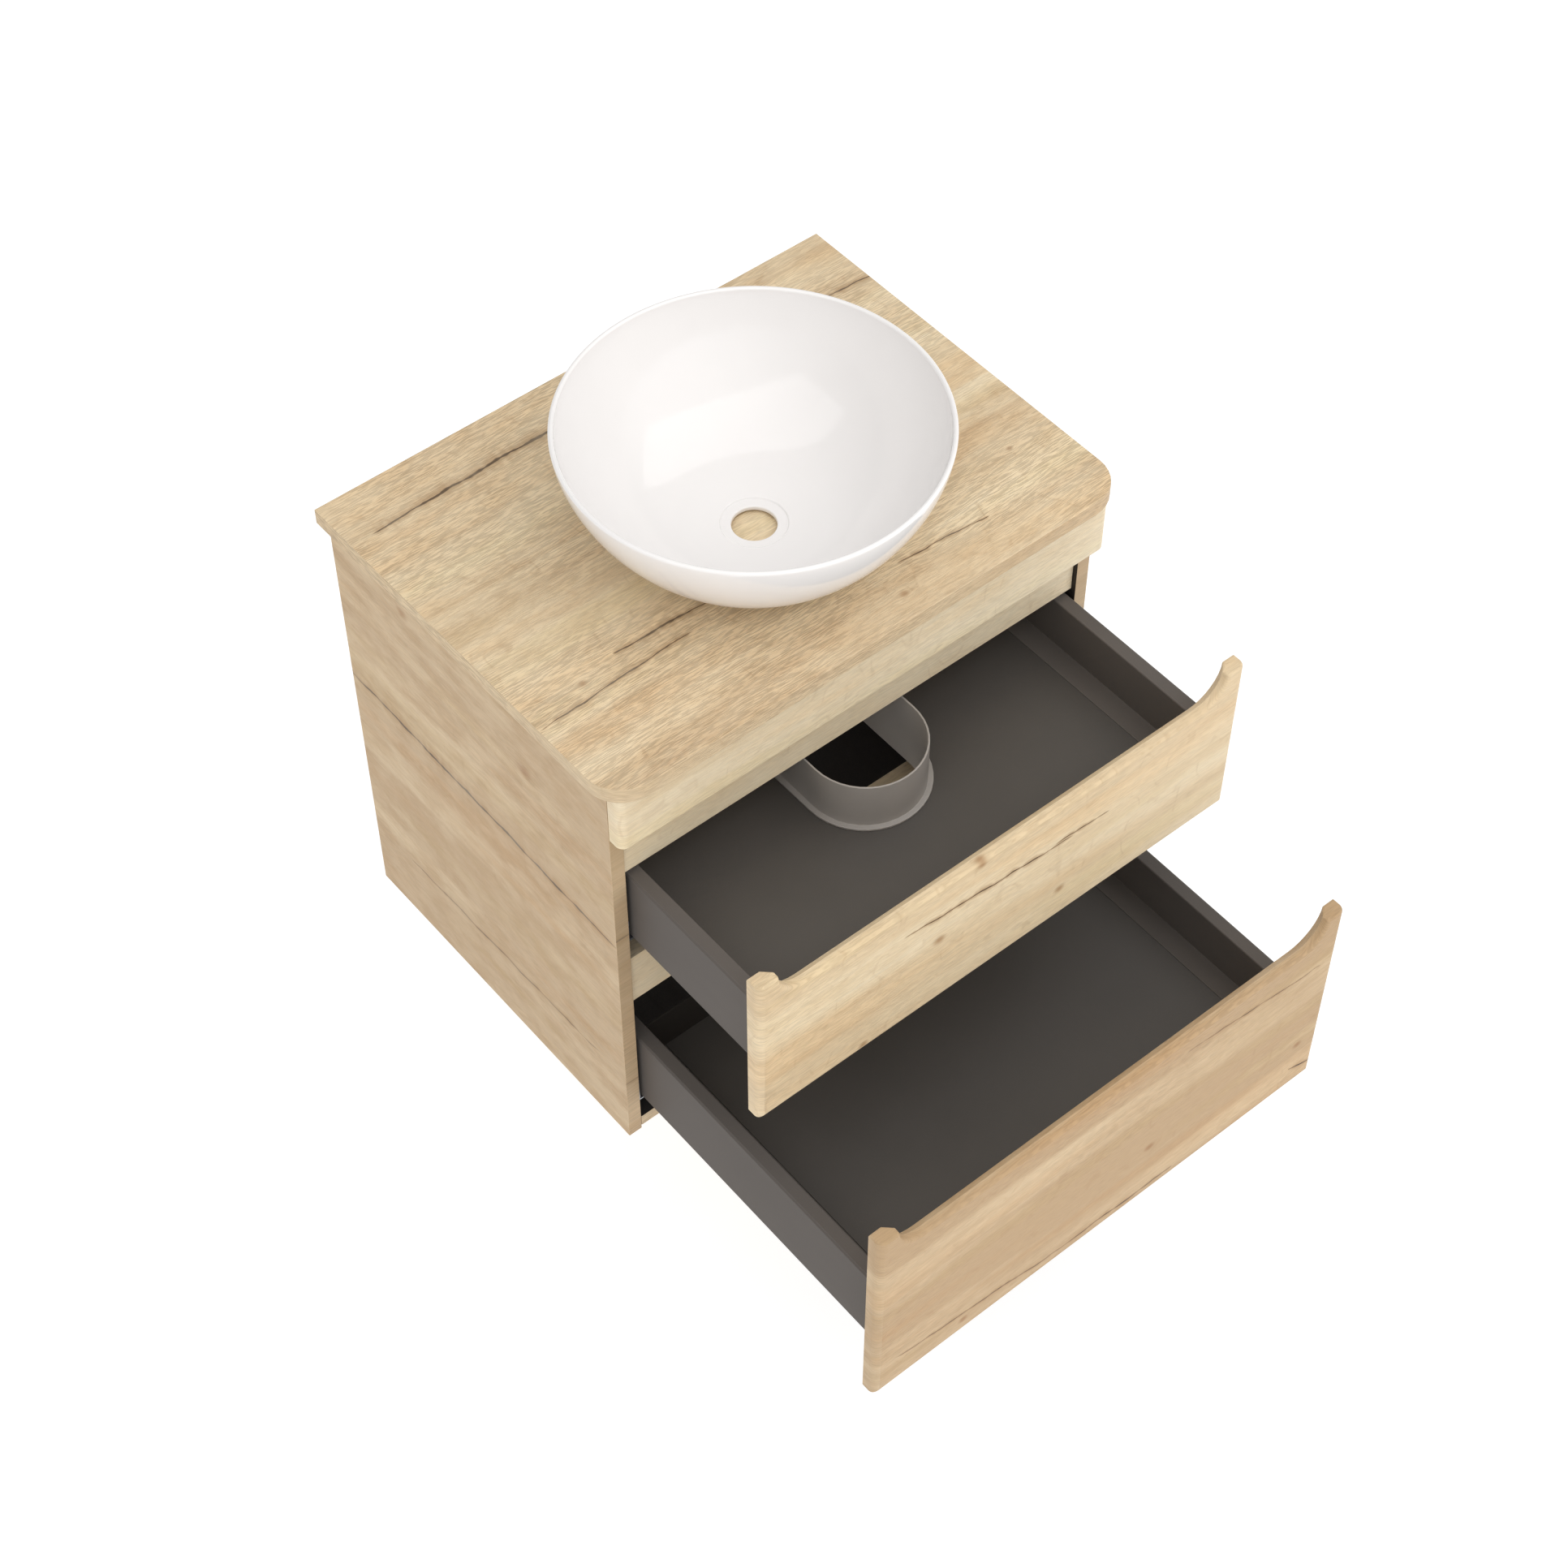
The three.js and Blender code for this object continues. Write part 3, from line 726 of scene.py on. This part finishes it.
# ---- carcass and fronts -------------------------------------------------------
class VANITY_OT_carcass(bpy.types.Operator):
    """Builds the countertop, side panels, fixed front, rails and bottom of the cabinet"""

    bl_idname = "vanity.carcass"
    bl_label = "Carcass"

    def execute(self, context):
        edge = context.scene.vanity_oak.board_edge
        cracks = [
            (-0.290, -0.061, 0.030, -0.053, 0.0026),
            (0.240, -0.076, 0.318, -0.086, 0.0012),
            (-0.312, -0.358, -0.130, -0.351, 0.0014),
            (-0.205, -0.327, -0.095, -0.331, 0.0020),
            (0.070, -0.408, 0.180, -0.415, 0.0010),
        ]
        knots = [(-0.247, -0.338, 0.005), (0.255, -0.360, 0.004), (0.051, -0.440, 0.005)]
        oak = oak_material(context, "oak_countertop", seed=1.7, pores=1.0, cracks=cracks, knots=knots)
        grain = wrapped_grain("countertop", COUNTERTOP_CORNER, True)
        skin("countertop", "countertop_board", "oak", oak, edge, grain=grain)
        cracks = [(0.030, -0.232, -0.445, -0.246, 0.0030), (-0.060, -0.480, -0.400, -0.470, 0.0014)]
        knots = [(-0.119, -0.045, 0.009), (-0.306, -0.105, 0.012)]
        # Both side panels are made darker all over (lift below zero): painted shade, for the weaker
        # light on the side of the cabinet that faces left.
        for side, seed in (("left", 3.3), ("right", 8.1)):
            name = f"oak_side_{side}"
            oak = oak_material(context, name, seed, 0.35, lift=-0.19, cracks=cracks, knots=knots)
            grain = board_grain(1, Vector((INWARD[side], 0, 0)))
            skin(f"side_panel_{side}", f"side_board_{side}", "oak", oak, edge, grain=grain)
        # The fixed front is made paler (lift above zero): painted light, making up for the shade it
        # stands in under the countertop and over the open drawers.
        oak = oak_material(context, "oak_fixed_front", seed=16.7, pores=0.45, lift=0.23)
        grain = wrapped_grain("false_front", FRONT_CORNER, False)
        skin("false_front", "fixed_front_board", "oak", oak, edge, grain=grain)
        # The front rails are made paler (lift above zero): painted light, making up for the shade they
        # stand in, set back under the fixed front and the drawers.
        oak = oak_material(context, "oak_rails", seed=5.2, pores=0.4, lift=0.20)
        for node in ("top_front_rail", "middle_front_rail"):
            skin(node, f"{node}_board", "oak", oak, edge, grain=board_grain(0))
        oak = oak_material(context, "oak_bottom", seed=6.4, pores=0.4)
        grain = board_grain(0, Vector((0, 0, 1)))
        skin("bottom_panel", "bottom_board", "oak", oak, edge, grain=grain)
        plain = board_material("dark_melamine", tuple(context.scene.vanity_oak.lining))
        for node in ("top_rear_rail", "bottom_rear_rail"):
            skin(node, f"{node}_board", "drawer_board", plain, edge)
        return {"FINISHED"}


class VANITY_OT_fronts(bpy.types.Operator):
    """Builds the two drawer fronts with their sunk finger grips"""

    bl_idname = "vanity.fronts"
    bl_label = "Drawer fronts"

    def execute(self, context):
        edge = context.scene.vanity_oak.board_edge
        cracks = {
            "upper": [
                (-0.130, -0.151, 0.085, -0.171, 0.0014),
                (0.060, -0.166, 0.130, -0.169, 0.0010),
            ],
            "lower": [
                (0.090, -0.346, 0.280, -0.368, 0.0009),
                (-0.275, -0.526, -0.050, -0.556, 0.0012),
                (-0.060, -0.555, 0.100, -0.557, 0.0014),
                (0.262, -0.537, 0.300, -0.552, 0.0016),
            ],
        }
        knots = {
            "upper": [
                (-0.084, -0.192, 0.008),
                (0.072, -0.244, 0.007),
                (-0.175, -0.279, 0.006),
                (-0.035, -0.118, 0.006),
            ],
            "lower": [(0.057, -0.481, 0.007), (0.268, -0.498, 0.006), (-0.186, -0.550, 0.006)],
        }
        # The upper front is made a little paler and the lower front darker.
        for drawer, seed, lift in (("upper", 21.3, 0.07), ("lower", 31.9, -0.21)):
            node = f"{drawer}_front"
            marks = cracks[drawer], knots[drawer]
            oak = oak_material(context, f"oak_{node}", seed, 0.45, lift, *marks)
            grain = wrapped_grain(node, FRONT_CORNER, False)
            skin(node, f"{node}_board", "oak", oak, edge, grain=grain, crown=GRIP_ROUNDING)
        return {"FINISHED"}


# ---- basin --------------------------------------------------------------------
def line_between(start, end):
    """Stretch of a profile: a straight line between two (radius, height) points."""
    return lambda part: tuple(part * (b - a) + a for a, b in zip(start, end))


def quarter(centre, radius, start, end):
    """Stretch of a profile: an arc about centre, angles in radians."""

    def place(part):
        angle = part * (end - start) + start
        return angle.math("COSINE") * radius + centre[0], angle.math("SINE") * radius + centre[1]

    return place


def bowl_wall(inner_radius, outer_radius, low, high, falling):
    """Stretch of a profile: the bowl's swelling wall between its foot and its rim."""

    def place(part):
        share = (1 - part) if falling else part
        lift = (share * (math.pi / 2)).math("SINE") ** 2.0
        swell = (1 - (1 - lift) ** BOWL_RISE) ** (1 / BOWL_ROUNDNESS)
        return swell * (outer_radius - inner_radius) + inner_radius, lift * (high - low) + low

    return place


def basin_tree(material):
    """Geometry Nodes that turn the basin's profile about its axis, from named sizes."""
    tree = bpy.data.node_groups.new("turned_basin", "GeometryNodeTree")
    graph = Graph(tree)
    names = (
        "Rim Radius", "Foot Radius", "Height", "Wall", "Floor", "Seal", "Hole Radius", "Recess Radius",
    )
    for name in names:
        tree.interface.new_socket(name=name, in_out="INPUT", socket_type="NodeSocketFloat")
    tree.interface.new_socket(name="Steps Round", in_out="INPUT", socket_type="NodeSocketInt")
    tree.interface.new_socket(name="Geometry", in_out="OUTPUT", socket_type="NodeSocketGeometry")
    sizes = graph.node("NodeGroupInput")
    rim, foot, height, wall, floor, seal, hole, recess = (graph.out(sizes, name) for name in names)
    lip = wall * 0.5
    rim_height = height - lip
    floor_start = foot + FLOOR_FLARE
    bevel_height = floor - (FLOOR_FALL + HOLE_EDGE)
    bevel_centre = (recess + (RECESS_EDGE + HOLE_EDGE), bevel_height)
    step_top = recess + RECESS_EDGE
    step_foot = recess - RECESS_EDGE
    seat = floor - RECESS_DEPTH
    hole_centre = (hole + HOLE_EDGE, seat - HOLE_EDGE)
    under = seal + FOOT_HOLLOW
    ring_top = foot - FOOT_RING
    ring_foot = foot - (FOOT_RING - FOOT_DRAFT)
    stretches = [
        (44, bowl_wall(foot, rim, seal, rim_height, False)),
        (12, quarter((rim - lip, rim_height), lip, 0.0, math.pi)),
        (44, bowl_wall(floor_start, rim - wall, floor, rim_height, True)),
        (8, line_between((floor_start, floor), (bevel_centre[0], floor - FLOOR_FALL))),
        (4, quarter(bevel_centre, HOLE_EDGE, math.pi / 2, math.pi)),
        (3, line_between((step_top, bevel_height), (step_foot, seat))),
        (6, line_between((step_foot, seat), (hole_centre[0], seat))),
        (6, quarter(hole_centre, HOLE_EDGE, math.pi / 2, math.pi)),
        (4, line_between((hole, hole_centre[1]), (hole, under))),
        (4, line_between((hole, under), (ring_top, under))),
        (2, line_between((ring_top, under), (ring_foot, seal))),
        (3, line_between((ring_foot, seal), (foot, seal))),
    ]
    count = sum(steps for steps, _ in stretches) + 1
    turns = graph.out(sizes, "Steps Round")
    grid = graph.node("GeometryNodeMeshGrid", inputs={"Vertices X": turns + 1.0, "Vertices Y": count})
    index = graph.out(graph.node("GeometryNodeInputIndex"))
    ring = (index / float(count) + 0.0001).math("FLOOR")
    step = index - ring * float(count)
    radius = lift = None
    start = 0
    for steps, place in stretches:
        part = ((step - float(start)) / float(steps)).math("MAXIMUM", 0.0).math("MINIMUM", 1.0)
        last = start + steps == count - 1
        inside = step.math("GREATER_THAN", start - 0.5)
        if not last:
            inside = inside * step.math("LESS_THAN", start + steps - 0.5)
        x, z = place(part)
        radius = inside * x if radius is None else radius + inside * x
        lift = inside * z if lift is None else lift + inside * z
        start += steps
    angle = ring / turns * (2 * math.pi)
    place = graph.vector(angle.math("COSINE") * radius, angle.math("SINE") * radius, lift)
    sockets = {"Geometry": graph.out(grid), "Position": place}
    moved = graph.node("GeometryNodeSetPosition", inputs=sockets)
    merged = graph.node(
        "GeometryNodeMergeByDistance",
        inputs={"Geometry": graph.out(moved), "Distance": 0.004 * MM},
    )
    flipped = graph.node("GeometryNodeFlipFaces", inputs={"Mesh": graph.out(merged)})
    smooth = graph.node("GeometryNodeSetShadeSmooth", inputs={0: graph.out(flipped)})
    end_tree(graph, graph.out(smooth), material)
    return tree


def end_tree(graph, geometry, material):
    """Ends a Geometry Nodes tree: instances made real, and the material set."""
    real = graph.node("GeometryNodeRealizeInstances", inputs={"Geometry": geometry})
    painted = graph.node(
        "GeometryNodeSetMaterial", inputs={"Geometry": graph.out(real), "Material": material}
    )
    graph.node("NodeGroupOutput", inputs={0: graph.out(painted)})


def grow(name, tree, values, mesh=None):
    """Runs a Geometry Nodes tree with these named inputs, and returns a plain mesh object."""
    piece = bpy.data.objects.new(name, mesh or bpy.data.meshes.new(name))
    bpy.context.scene.collection.objects.link(piece)
    modifier = piece.modifiers.new("nodes", "NODES")
    modifier.node_group = tree
    sockets = {s.name: s.identifier for s in tree.interface.items_tree if s.in_out == "INPUT"}
    for key, value in values.items():
        modifier[sockets[key]] = value
    apply_modifiers(piece)
    return piece


class VANITY_OT_basin(bpy.types.Operator):
    """Turns the vessel basin and lays its silicone seal"""

    bl_idname = "vanity.basin"
    bl_label = "Basin"

    def execute(self, context):
        settings = context.scene.vanity_basin
        low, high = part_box("basin")
        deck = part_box("countertop")[1].z
        glaze = ceramic_material(context)
        values = {
            "Rim Radius": (high.x - low.x) / 2,
            "Foot Radius": settings.foot,
            "Height": high.z - deck,
            "Wall": settings.wall,
            "Floor": settings.floor,
            "Seal": low.z - deck,
            "Hole Radius": settings.hole,
            "Recess Radius": settings.recess,
            "Steps Round": settings.turns,
        }
        basin = grow("vessel_basin", basin_tree(glaze), values)
        centre = (low + high) / 2
        basin.data.transform(Matrix.Translation((centre.x, centre.y, deck)))
        dress(basin, "basin", "ceramic", glaze)
        skin("basin_seal", "basin_bead", "silicone", silicone_material(), SEAL_EDGE)
        return {"FINISHED"}


# ---- drawers and fittings -----------------------------------------------------
class VANITY_OT_drawers(bpy.types.Operator):
    """Builds the drawer sides, floors, backs and the siphon collar"""

    bl_idname = "vanity.drawers"
    bl_label = "Drawer boxes"

    def execute(self, context):
        settings = context.scene.vanity_drawer
        edge = settings.sheet_edge
        paint = metal_paint_material("anthracite_paint", tuple(settings.paint))
        floor = board_material("anthracite_board", tuple(settings.floor))
        # Very dark back plates, so that they read as the deep shade behind the drawers: painted shade.
        back = metal_paint_material("dark_paint", tuple(settings.back), 0.5)
        collar = plastic_material("grey_plastic", tuple(settings.collar), 0.36)
        for drawer in DRAWERS:
            for side in INWARD:
                node = f"{drawer}_side_{side}"
                skin(node, f"{node}_sheet", "anthracite", paint, edge, segments=3)
            node = f"{drawer}_floor"
            skin(node, f"{node}_board", "drawer_board", floor, edge)
        for node in ("upper_back_left", "upper_back_right", "lower_back"):
            skin(node, f"{node}_plate", "dark_steel", back, edge)
        skin("siphon_collar", "siphon_ring", "grey_plastic", collar, edge)
        return {"FINISHED"}


class VANITY_OT_fittings(bpy.types.Operator):
    """Builds the runners, brackets, spacers and wall hangers of galvanised steel"""

    bl_idname = "vanity.fittings"
    bl_label = "Runners and hangers"

    def execute(self, context):
        zinc = zinc_material()
        members = ("cabinet", "middle", "drawer")
        nodes = [f"{drawer}_runner_{member}" for drawer in DRAWERS for member in members]
        nodes += ["upper_front_bracket", "lower_front_bracket", "fascia_spacer", "hanger"]
        for base in nodes:
            for side in INWARD:
                node = f"{base}_{side}"
                skin(node, f"{node}_steel", "zinc", zinc, STEEL_EDGE)
        return {"FINISHED"}


def raised(graph, node, height):
    """A node's geometry, moved up."""
    sockets = {"Geometry": graph.out(node), "Translation": graph.vector(0.0, 0.0, height)}
    return graph.out(graph.node("GeometryNodeTransform", inputs=sockets))


def boolean(graph, operation, parts, base=None):
    """Joins closed parts, or takes them away from the base."""
    node = graph.node("GeometryNodeMeshBoolean", {"operation": operation}, {0: base} if base else None)
    for part in parts:
        graph.tree.links.new(part.socket, node.inputs[1])
    return graph.out(node)


def screw_tree(material):
    """Geometry Nodes that put a cross-headed screw on every point, facing along its facing."""
    tree = bpy.data.node_groups.new("screw_heads", "GeometryNodeTree")
    graph = Graph(tree)
    tree.interface.new_socket(name="Points", in_out="INPUT", socket_type="NodeSocketGeometry")
    names = ("Head Radius", "Head Height", "Cross Length")
    for name in names:
        tree.interface.new_socket(name=name, in_out="INPUT", socket_type="NodeSocketFloat")
    tree.interface.new_socket(name="Geometry", in_out="OUTPUT", socket_type="NodeSocketGeometry")
    group = graph.node("NodeGroupInput")
    radius, height, cross = (graph.out(group, name) for name in names)
    discs = []
    for share, rise in ((1.0, 0.55), (0.86, 0.85), (0.62, 1.0)):
        sizes = {"Vertices": 20, "Radius": radius * share, "Depth": height * rise}
        disc = graph.node("GeometryNodeMeshCylinder", inputs=sizes)
        discs.append(raised(graph, disc, height * (rise / 2)))
    slots = []
    for x, y in ((cross, cross * 0.2), (cross * 0.2, cross)):
        cube = graph.node("GeometryNodeMeshCube", inputs={"Size": graph.vector(x, y, height)})
        slots.append(raised(graph, cube, height))
    head = boolean(graph, "DIFFERENCE", slots, boolean(graph, "UNION", discs))
    facing = graph.node(
        "GeometryNodeInputNamedAttribute", {"data_type": "FLOAT_VECTOR"}, {"Name": "facing"}
    )
    turn = graph.node("FunctionNodeAlignRotationToVector", {"axis": "Z"}, {"Vector": graph.out(facing)})
    points = graph.node("GeometryNodeMeshToPoints", inputs={"Mesh": graph.out(group, "Points")})
    heads = graph.node(
        "GeometryNodeInstanceOnPoints",
        inputs={"Points": graph.out(points), "Instance": head, "Rotation": graph.out(turn)},
    )
    end_tree(graph, graph.out(heads), material)
    return tree


class VANITY_OT_screws(bpy.types.Operator):
    """Puts the screws that hold the runners to the side panels"""

    bl_idname = "vanity.screws"
    bl_label = "Screws"

    def execute(self, context):
        settings = context.scene.vanity_screw
        spots = []
        for drawer in DRAWERS:
            for side, inward in INWARD.items():
                low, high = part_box(f"{drawer}_runner_cabinet_{side}")
                face = (low.x if inward > 0 else high.x) + inward * SCREW_SEAT
                row = low.y + SCREW_FRONT
                while row < high.y - SCREW_BACK:
                    spots.append(((face, row, high.z - SCREW_DROP), (inward, 0.0, 0.0)))
                    row += settings.pitch
        mesh = bpy.data.meshes.new("screw_spots")
        mesh.from_pydata([place for place, _ in spots], [], [])
        layer = mesh.attributes.new("facing", "FLOAT_VECTOR", "POINT")
        for item, (_, facing) in zip(layer.data, spots):
            item.vector = facing
        zinc = bpy.data.materials["zinc_sheet"]
        values = {
            "Head Radius": settings.head,
            "Head Height": settings.height,
            "Cross Length": settings.cross,
        }
        screws = grow("runner_screws", screw_tree(zinc), values, mesh)
        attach(screws, "cabinet")
        return {"FINISHED"}


# ---- studio -------------------------------------------------------------------
def overhead_softbox(scene, radiance):
    """The wide soft light over the object, of even radiance and unseen by the camera."""
    width, depth = SOFTBOX_SIZE
    light = bpy.data.lights.new("overhead_softbox", "AREA")
    light.shape = "RECTANGLE"
    light.size, light.size_y = width, depth
    light.energy = radiance * math.pi * width * depth
    lamp = bpy.data.objects.new("overhead_softbox", light)
    lamp.location = SOFTBOX_PLACE
    lamp.rotation_euler = (0.0, 0.0, math.radians(SOFTBOX_TURN))
    lamp.visible_camera = False
    scene.collection.objects.link(lamp)


def studio_world(settings):
    """White surroundings: brighter in front of the object and a little darker on its left."""
    world = bpy.data.worlds.new("studio")
    world.use_nodes = True
    graph = Graph(world.node_tree)
    across, forward, _ = graph.split(graph.out(graph.node("ShaderNodeTexCoord"), "Generated"))
    ahead = (forward * -1.0).math("MAXIMUM", 0.0)
    shade = graph.smooth(across, -0.9, 0.1, 1.0 - settings.side_shade, 1.0)
    glow = (ahead * settings.front + settings.sky) * shade
    sky = graph.node("ShaderNodeBackground", inputs={"Strength": glow})
    graph.node("ShaderNodeOutputWorld", inputs={"Surface": graph.out(sky)})
    return world


def floor_material(glow):
    """White background paper with a faint fibre, glowing a little so that it stays white."""

    def build(graph):
        fibre = graph.smooth(graph.noise(graph.here(), 3.0, 3.0), 0.3, 0.7)
        return {
            "Base Color": graph.mix(fibre, (0.48, 0.48, 0.48), (0.50, 0.50, 0.50)),
            "Roughness": 0.9,
            "Specular IOR Level": 0.1,
            "Emission Color": (1.0, 1.0, 1.0, 1.0),
            "Emission Strength": glow,
        }

    return finish_material("studio_floor", build)


class VANITY_OT_studio(bpy.types.Operator):
    """Lays the floor, hangs the soft lights and sets the camera"""

    bl_idname = "vanity.studio"
    bl_label = "Studio"

    def execute(self, context):
        settings = context.scene.vanity_studio
        scene = context.scene
        scene.view_settings.view_transform = "Standard"
        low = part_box("lower_front")[0].z - settings.floor_gap
        mesh = bpy.data.meshes.new("studio_floor")
        half = FLOOR_HALF_WIDTH
        corners = [(-half, -half, low), (half, -half, low), (half, half, low), (-half, half, low)]
        mesh.from_pydata(corners, [], [(0, 1, 2, 3)])
        floor = bpy.data.objects.new("studio_floor", mesh)
        scene.collection.objects.link(floor)
        mesh.materials.append(floor_material(settings.paper))
        scene.world = studio_world(settings)
        overhead_softbox(scene, settings.overhead)
        lens = bpy.data.cameras.new("camera")
        lens.lens = LENS_MM
        lens.sensor_width = SENSOR_MM
        camera = bpy.data.objects.new("camera", lens)
        camera.location = CAMERA_PLACE
        camera.rotation_euler = [math.radians(angle) for angle in CAMERA_TURN]
        scene.collection.objects.link(camera)
        scene.camera = camera
        return {"FINISHED"}


# ---- add-on -------------------------------------------------------------------
STEPS = ("carcass", "fronts", "basin", "drawers", "fittings", "screws", "studio")
SETTINGS = {
    "vanity_oak": OakSettings,
    "vanity_basin": BasinSettings,
    "vanity_drawer": DrawerSettings,
    "vanity_screw": ScrewSettings,
    "vanity_studio": StudioSettings,
}


class VANITY_PT_panel(bpy.types.Panel):
    """Sizes, colours and steps of the vanity"""

    bl_idname = "VANITY_PT_panel"
    bl_label = "Vanity"
    bl_space_type = "VIEW_3D"
    bl_region_type = "UI"
    bl_category = "Vanity"

    def draw(self, context):
        for name, group in SETTINGS.items():
            box = self.layout.box()
            for key in group.__annotations__:
                box.prop(getattr(context.scene, name), key)
        for step in STEPS:
            self.layout.operator(f"vanity.{step}")


CLASSES = (
    *SETTINGS.values(),
    VANITY_OT_carcass,
    VANITY_OT_fronts,
    VANITY_OT_basin,
    VANITY_OT_drawers,
    VANITY_OT_fittings,
    VANITY_OT_screws,
    VANITY_OT_studio,
    VANITY_PT_panel,
)


def register():
    for cls in CLASSES:
        bpy.utils.register_class(cls)
    for name, group in SETTINGS.items():
        setattr(bpy.types.Scene, name, bpy.props.PointerProperty(type=group))


def unregister():
    for name in SETTINGS:
        delattr(bpy.types.Scene, name)
    for cls in reversed(CLASSES):
        bpy.utils.unregister_class(cls)


def main():
    register()
    for step in STEPS:
        getattr(bpy.ops.vanity, step)()


if __name__ == "__main__":
    main()
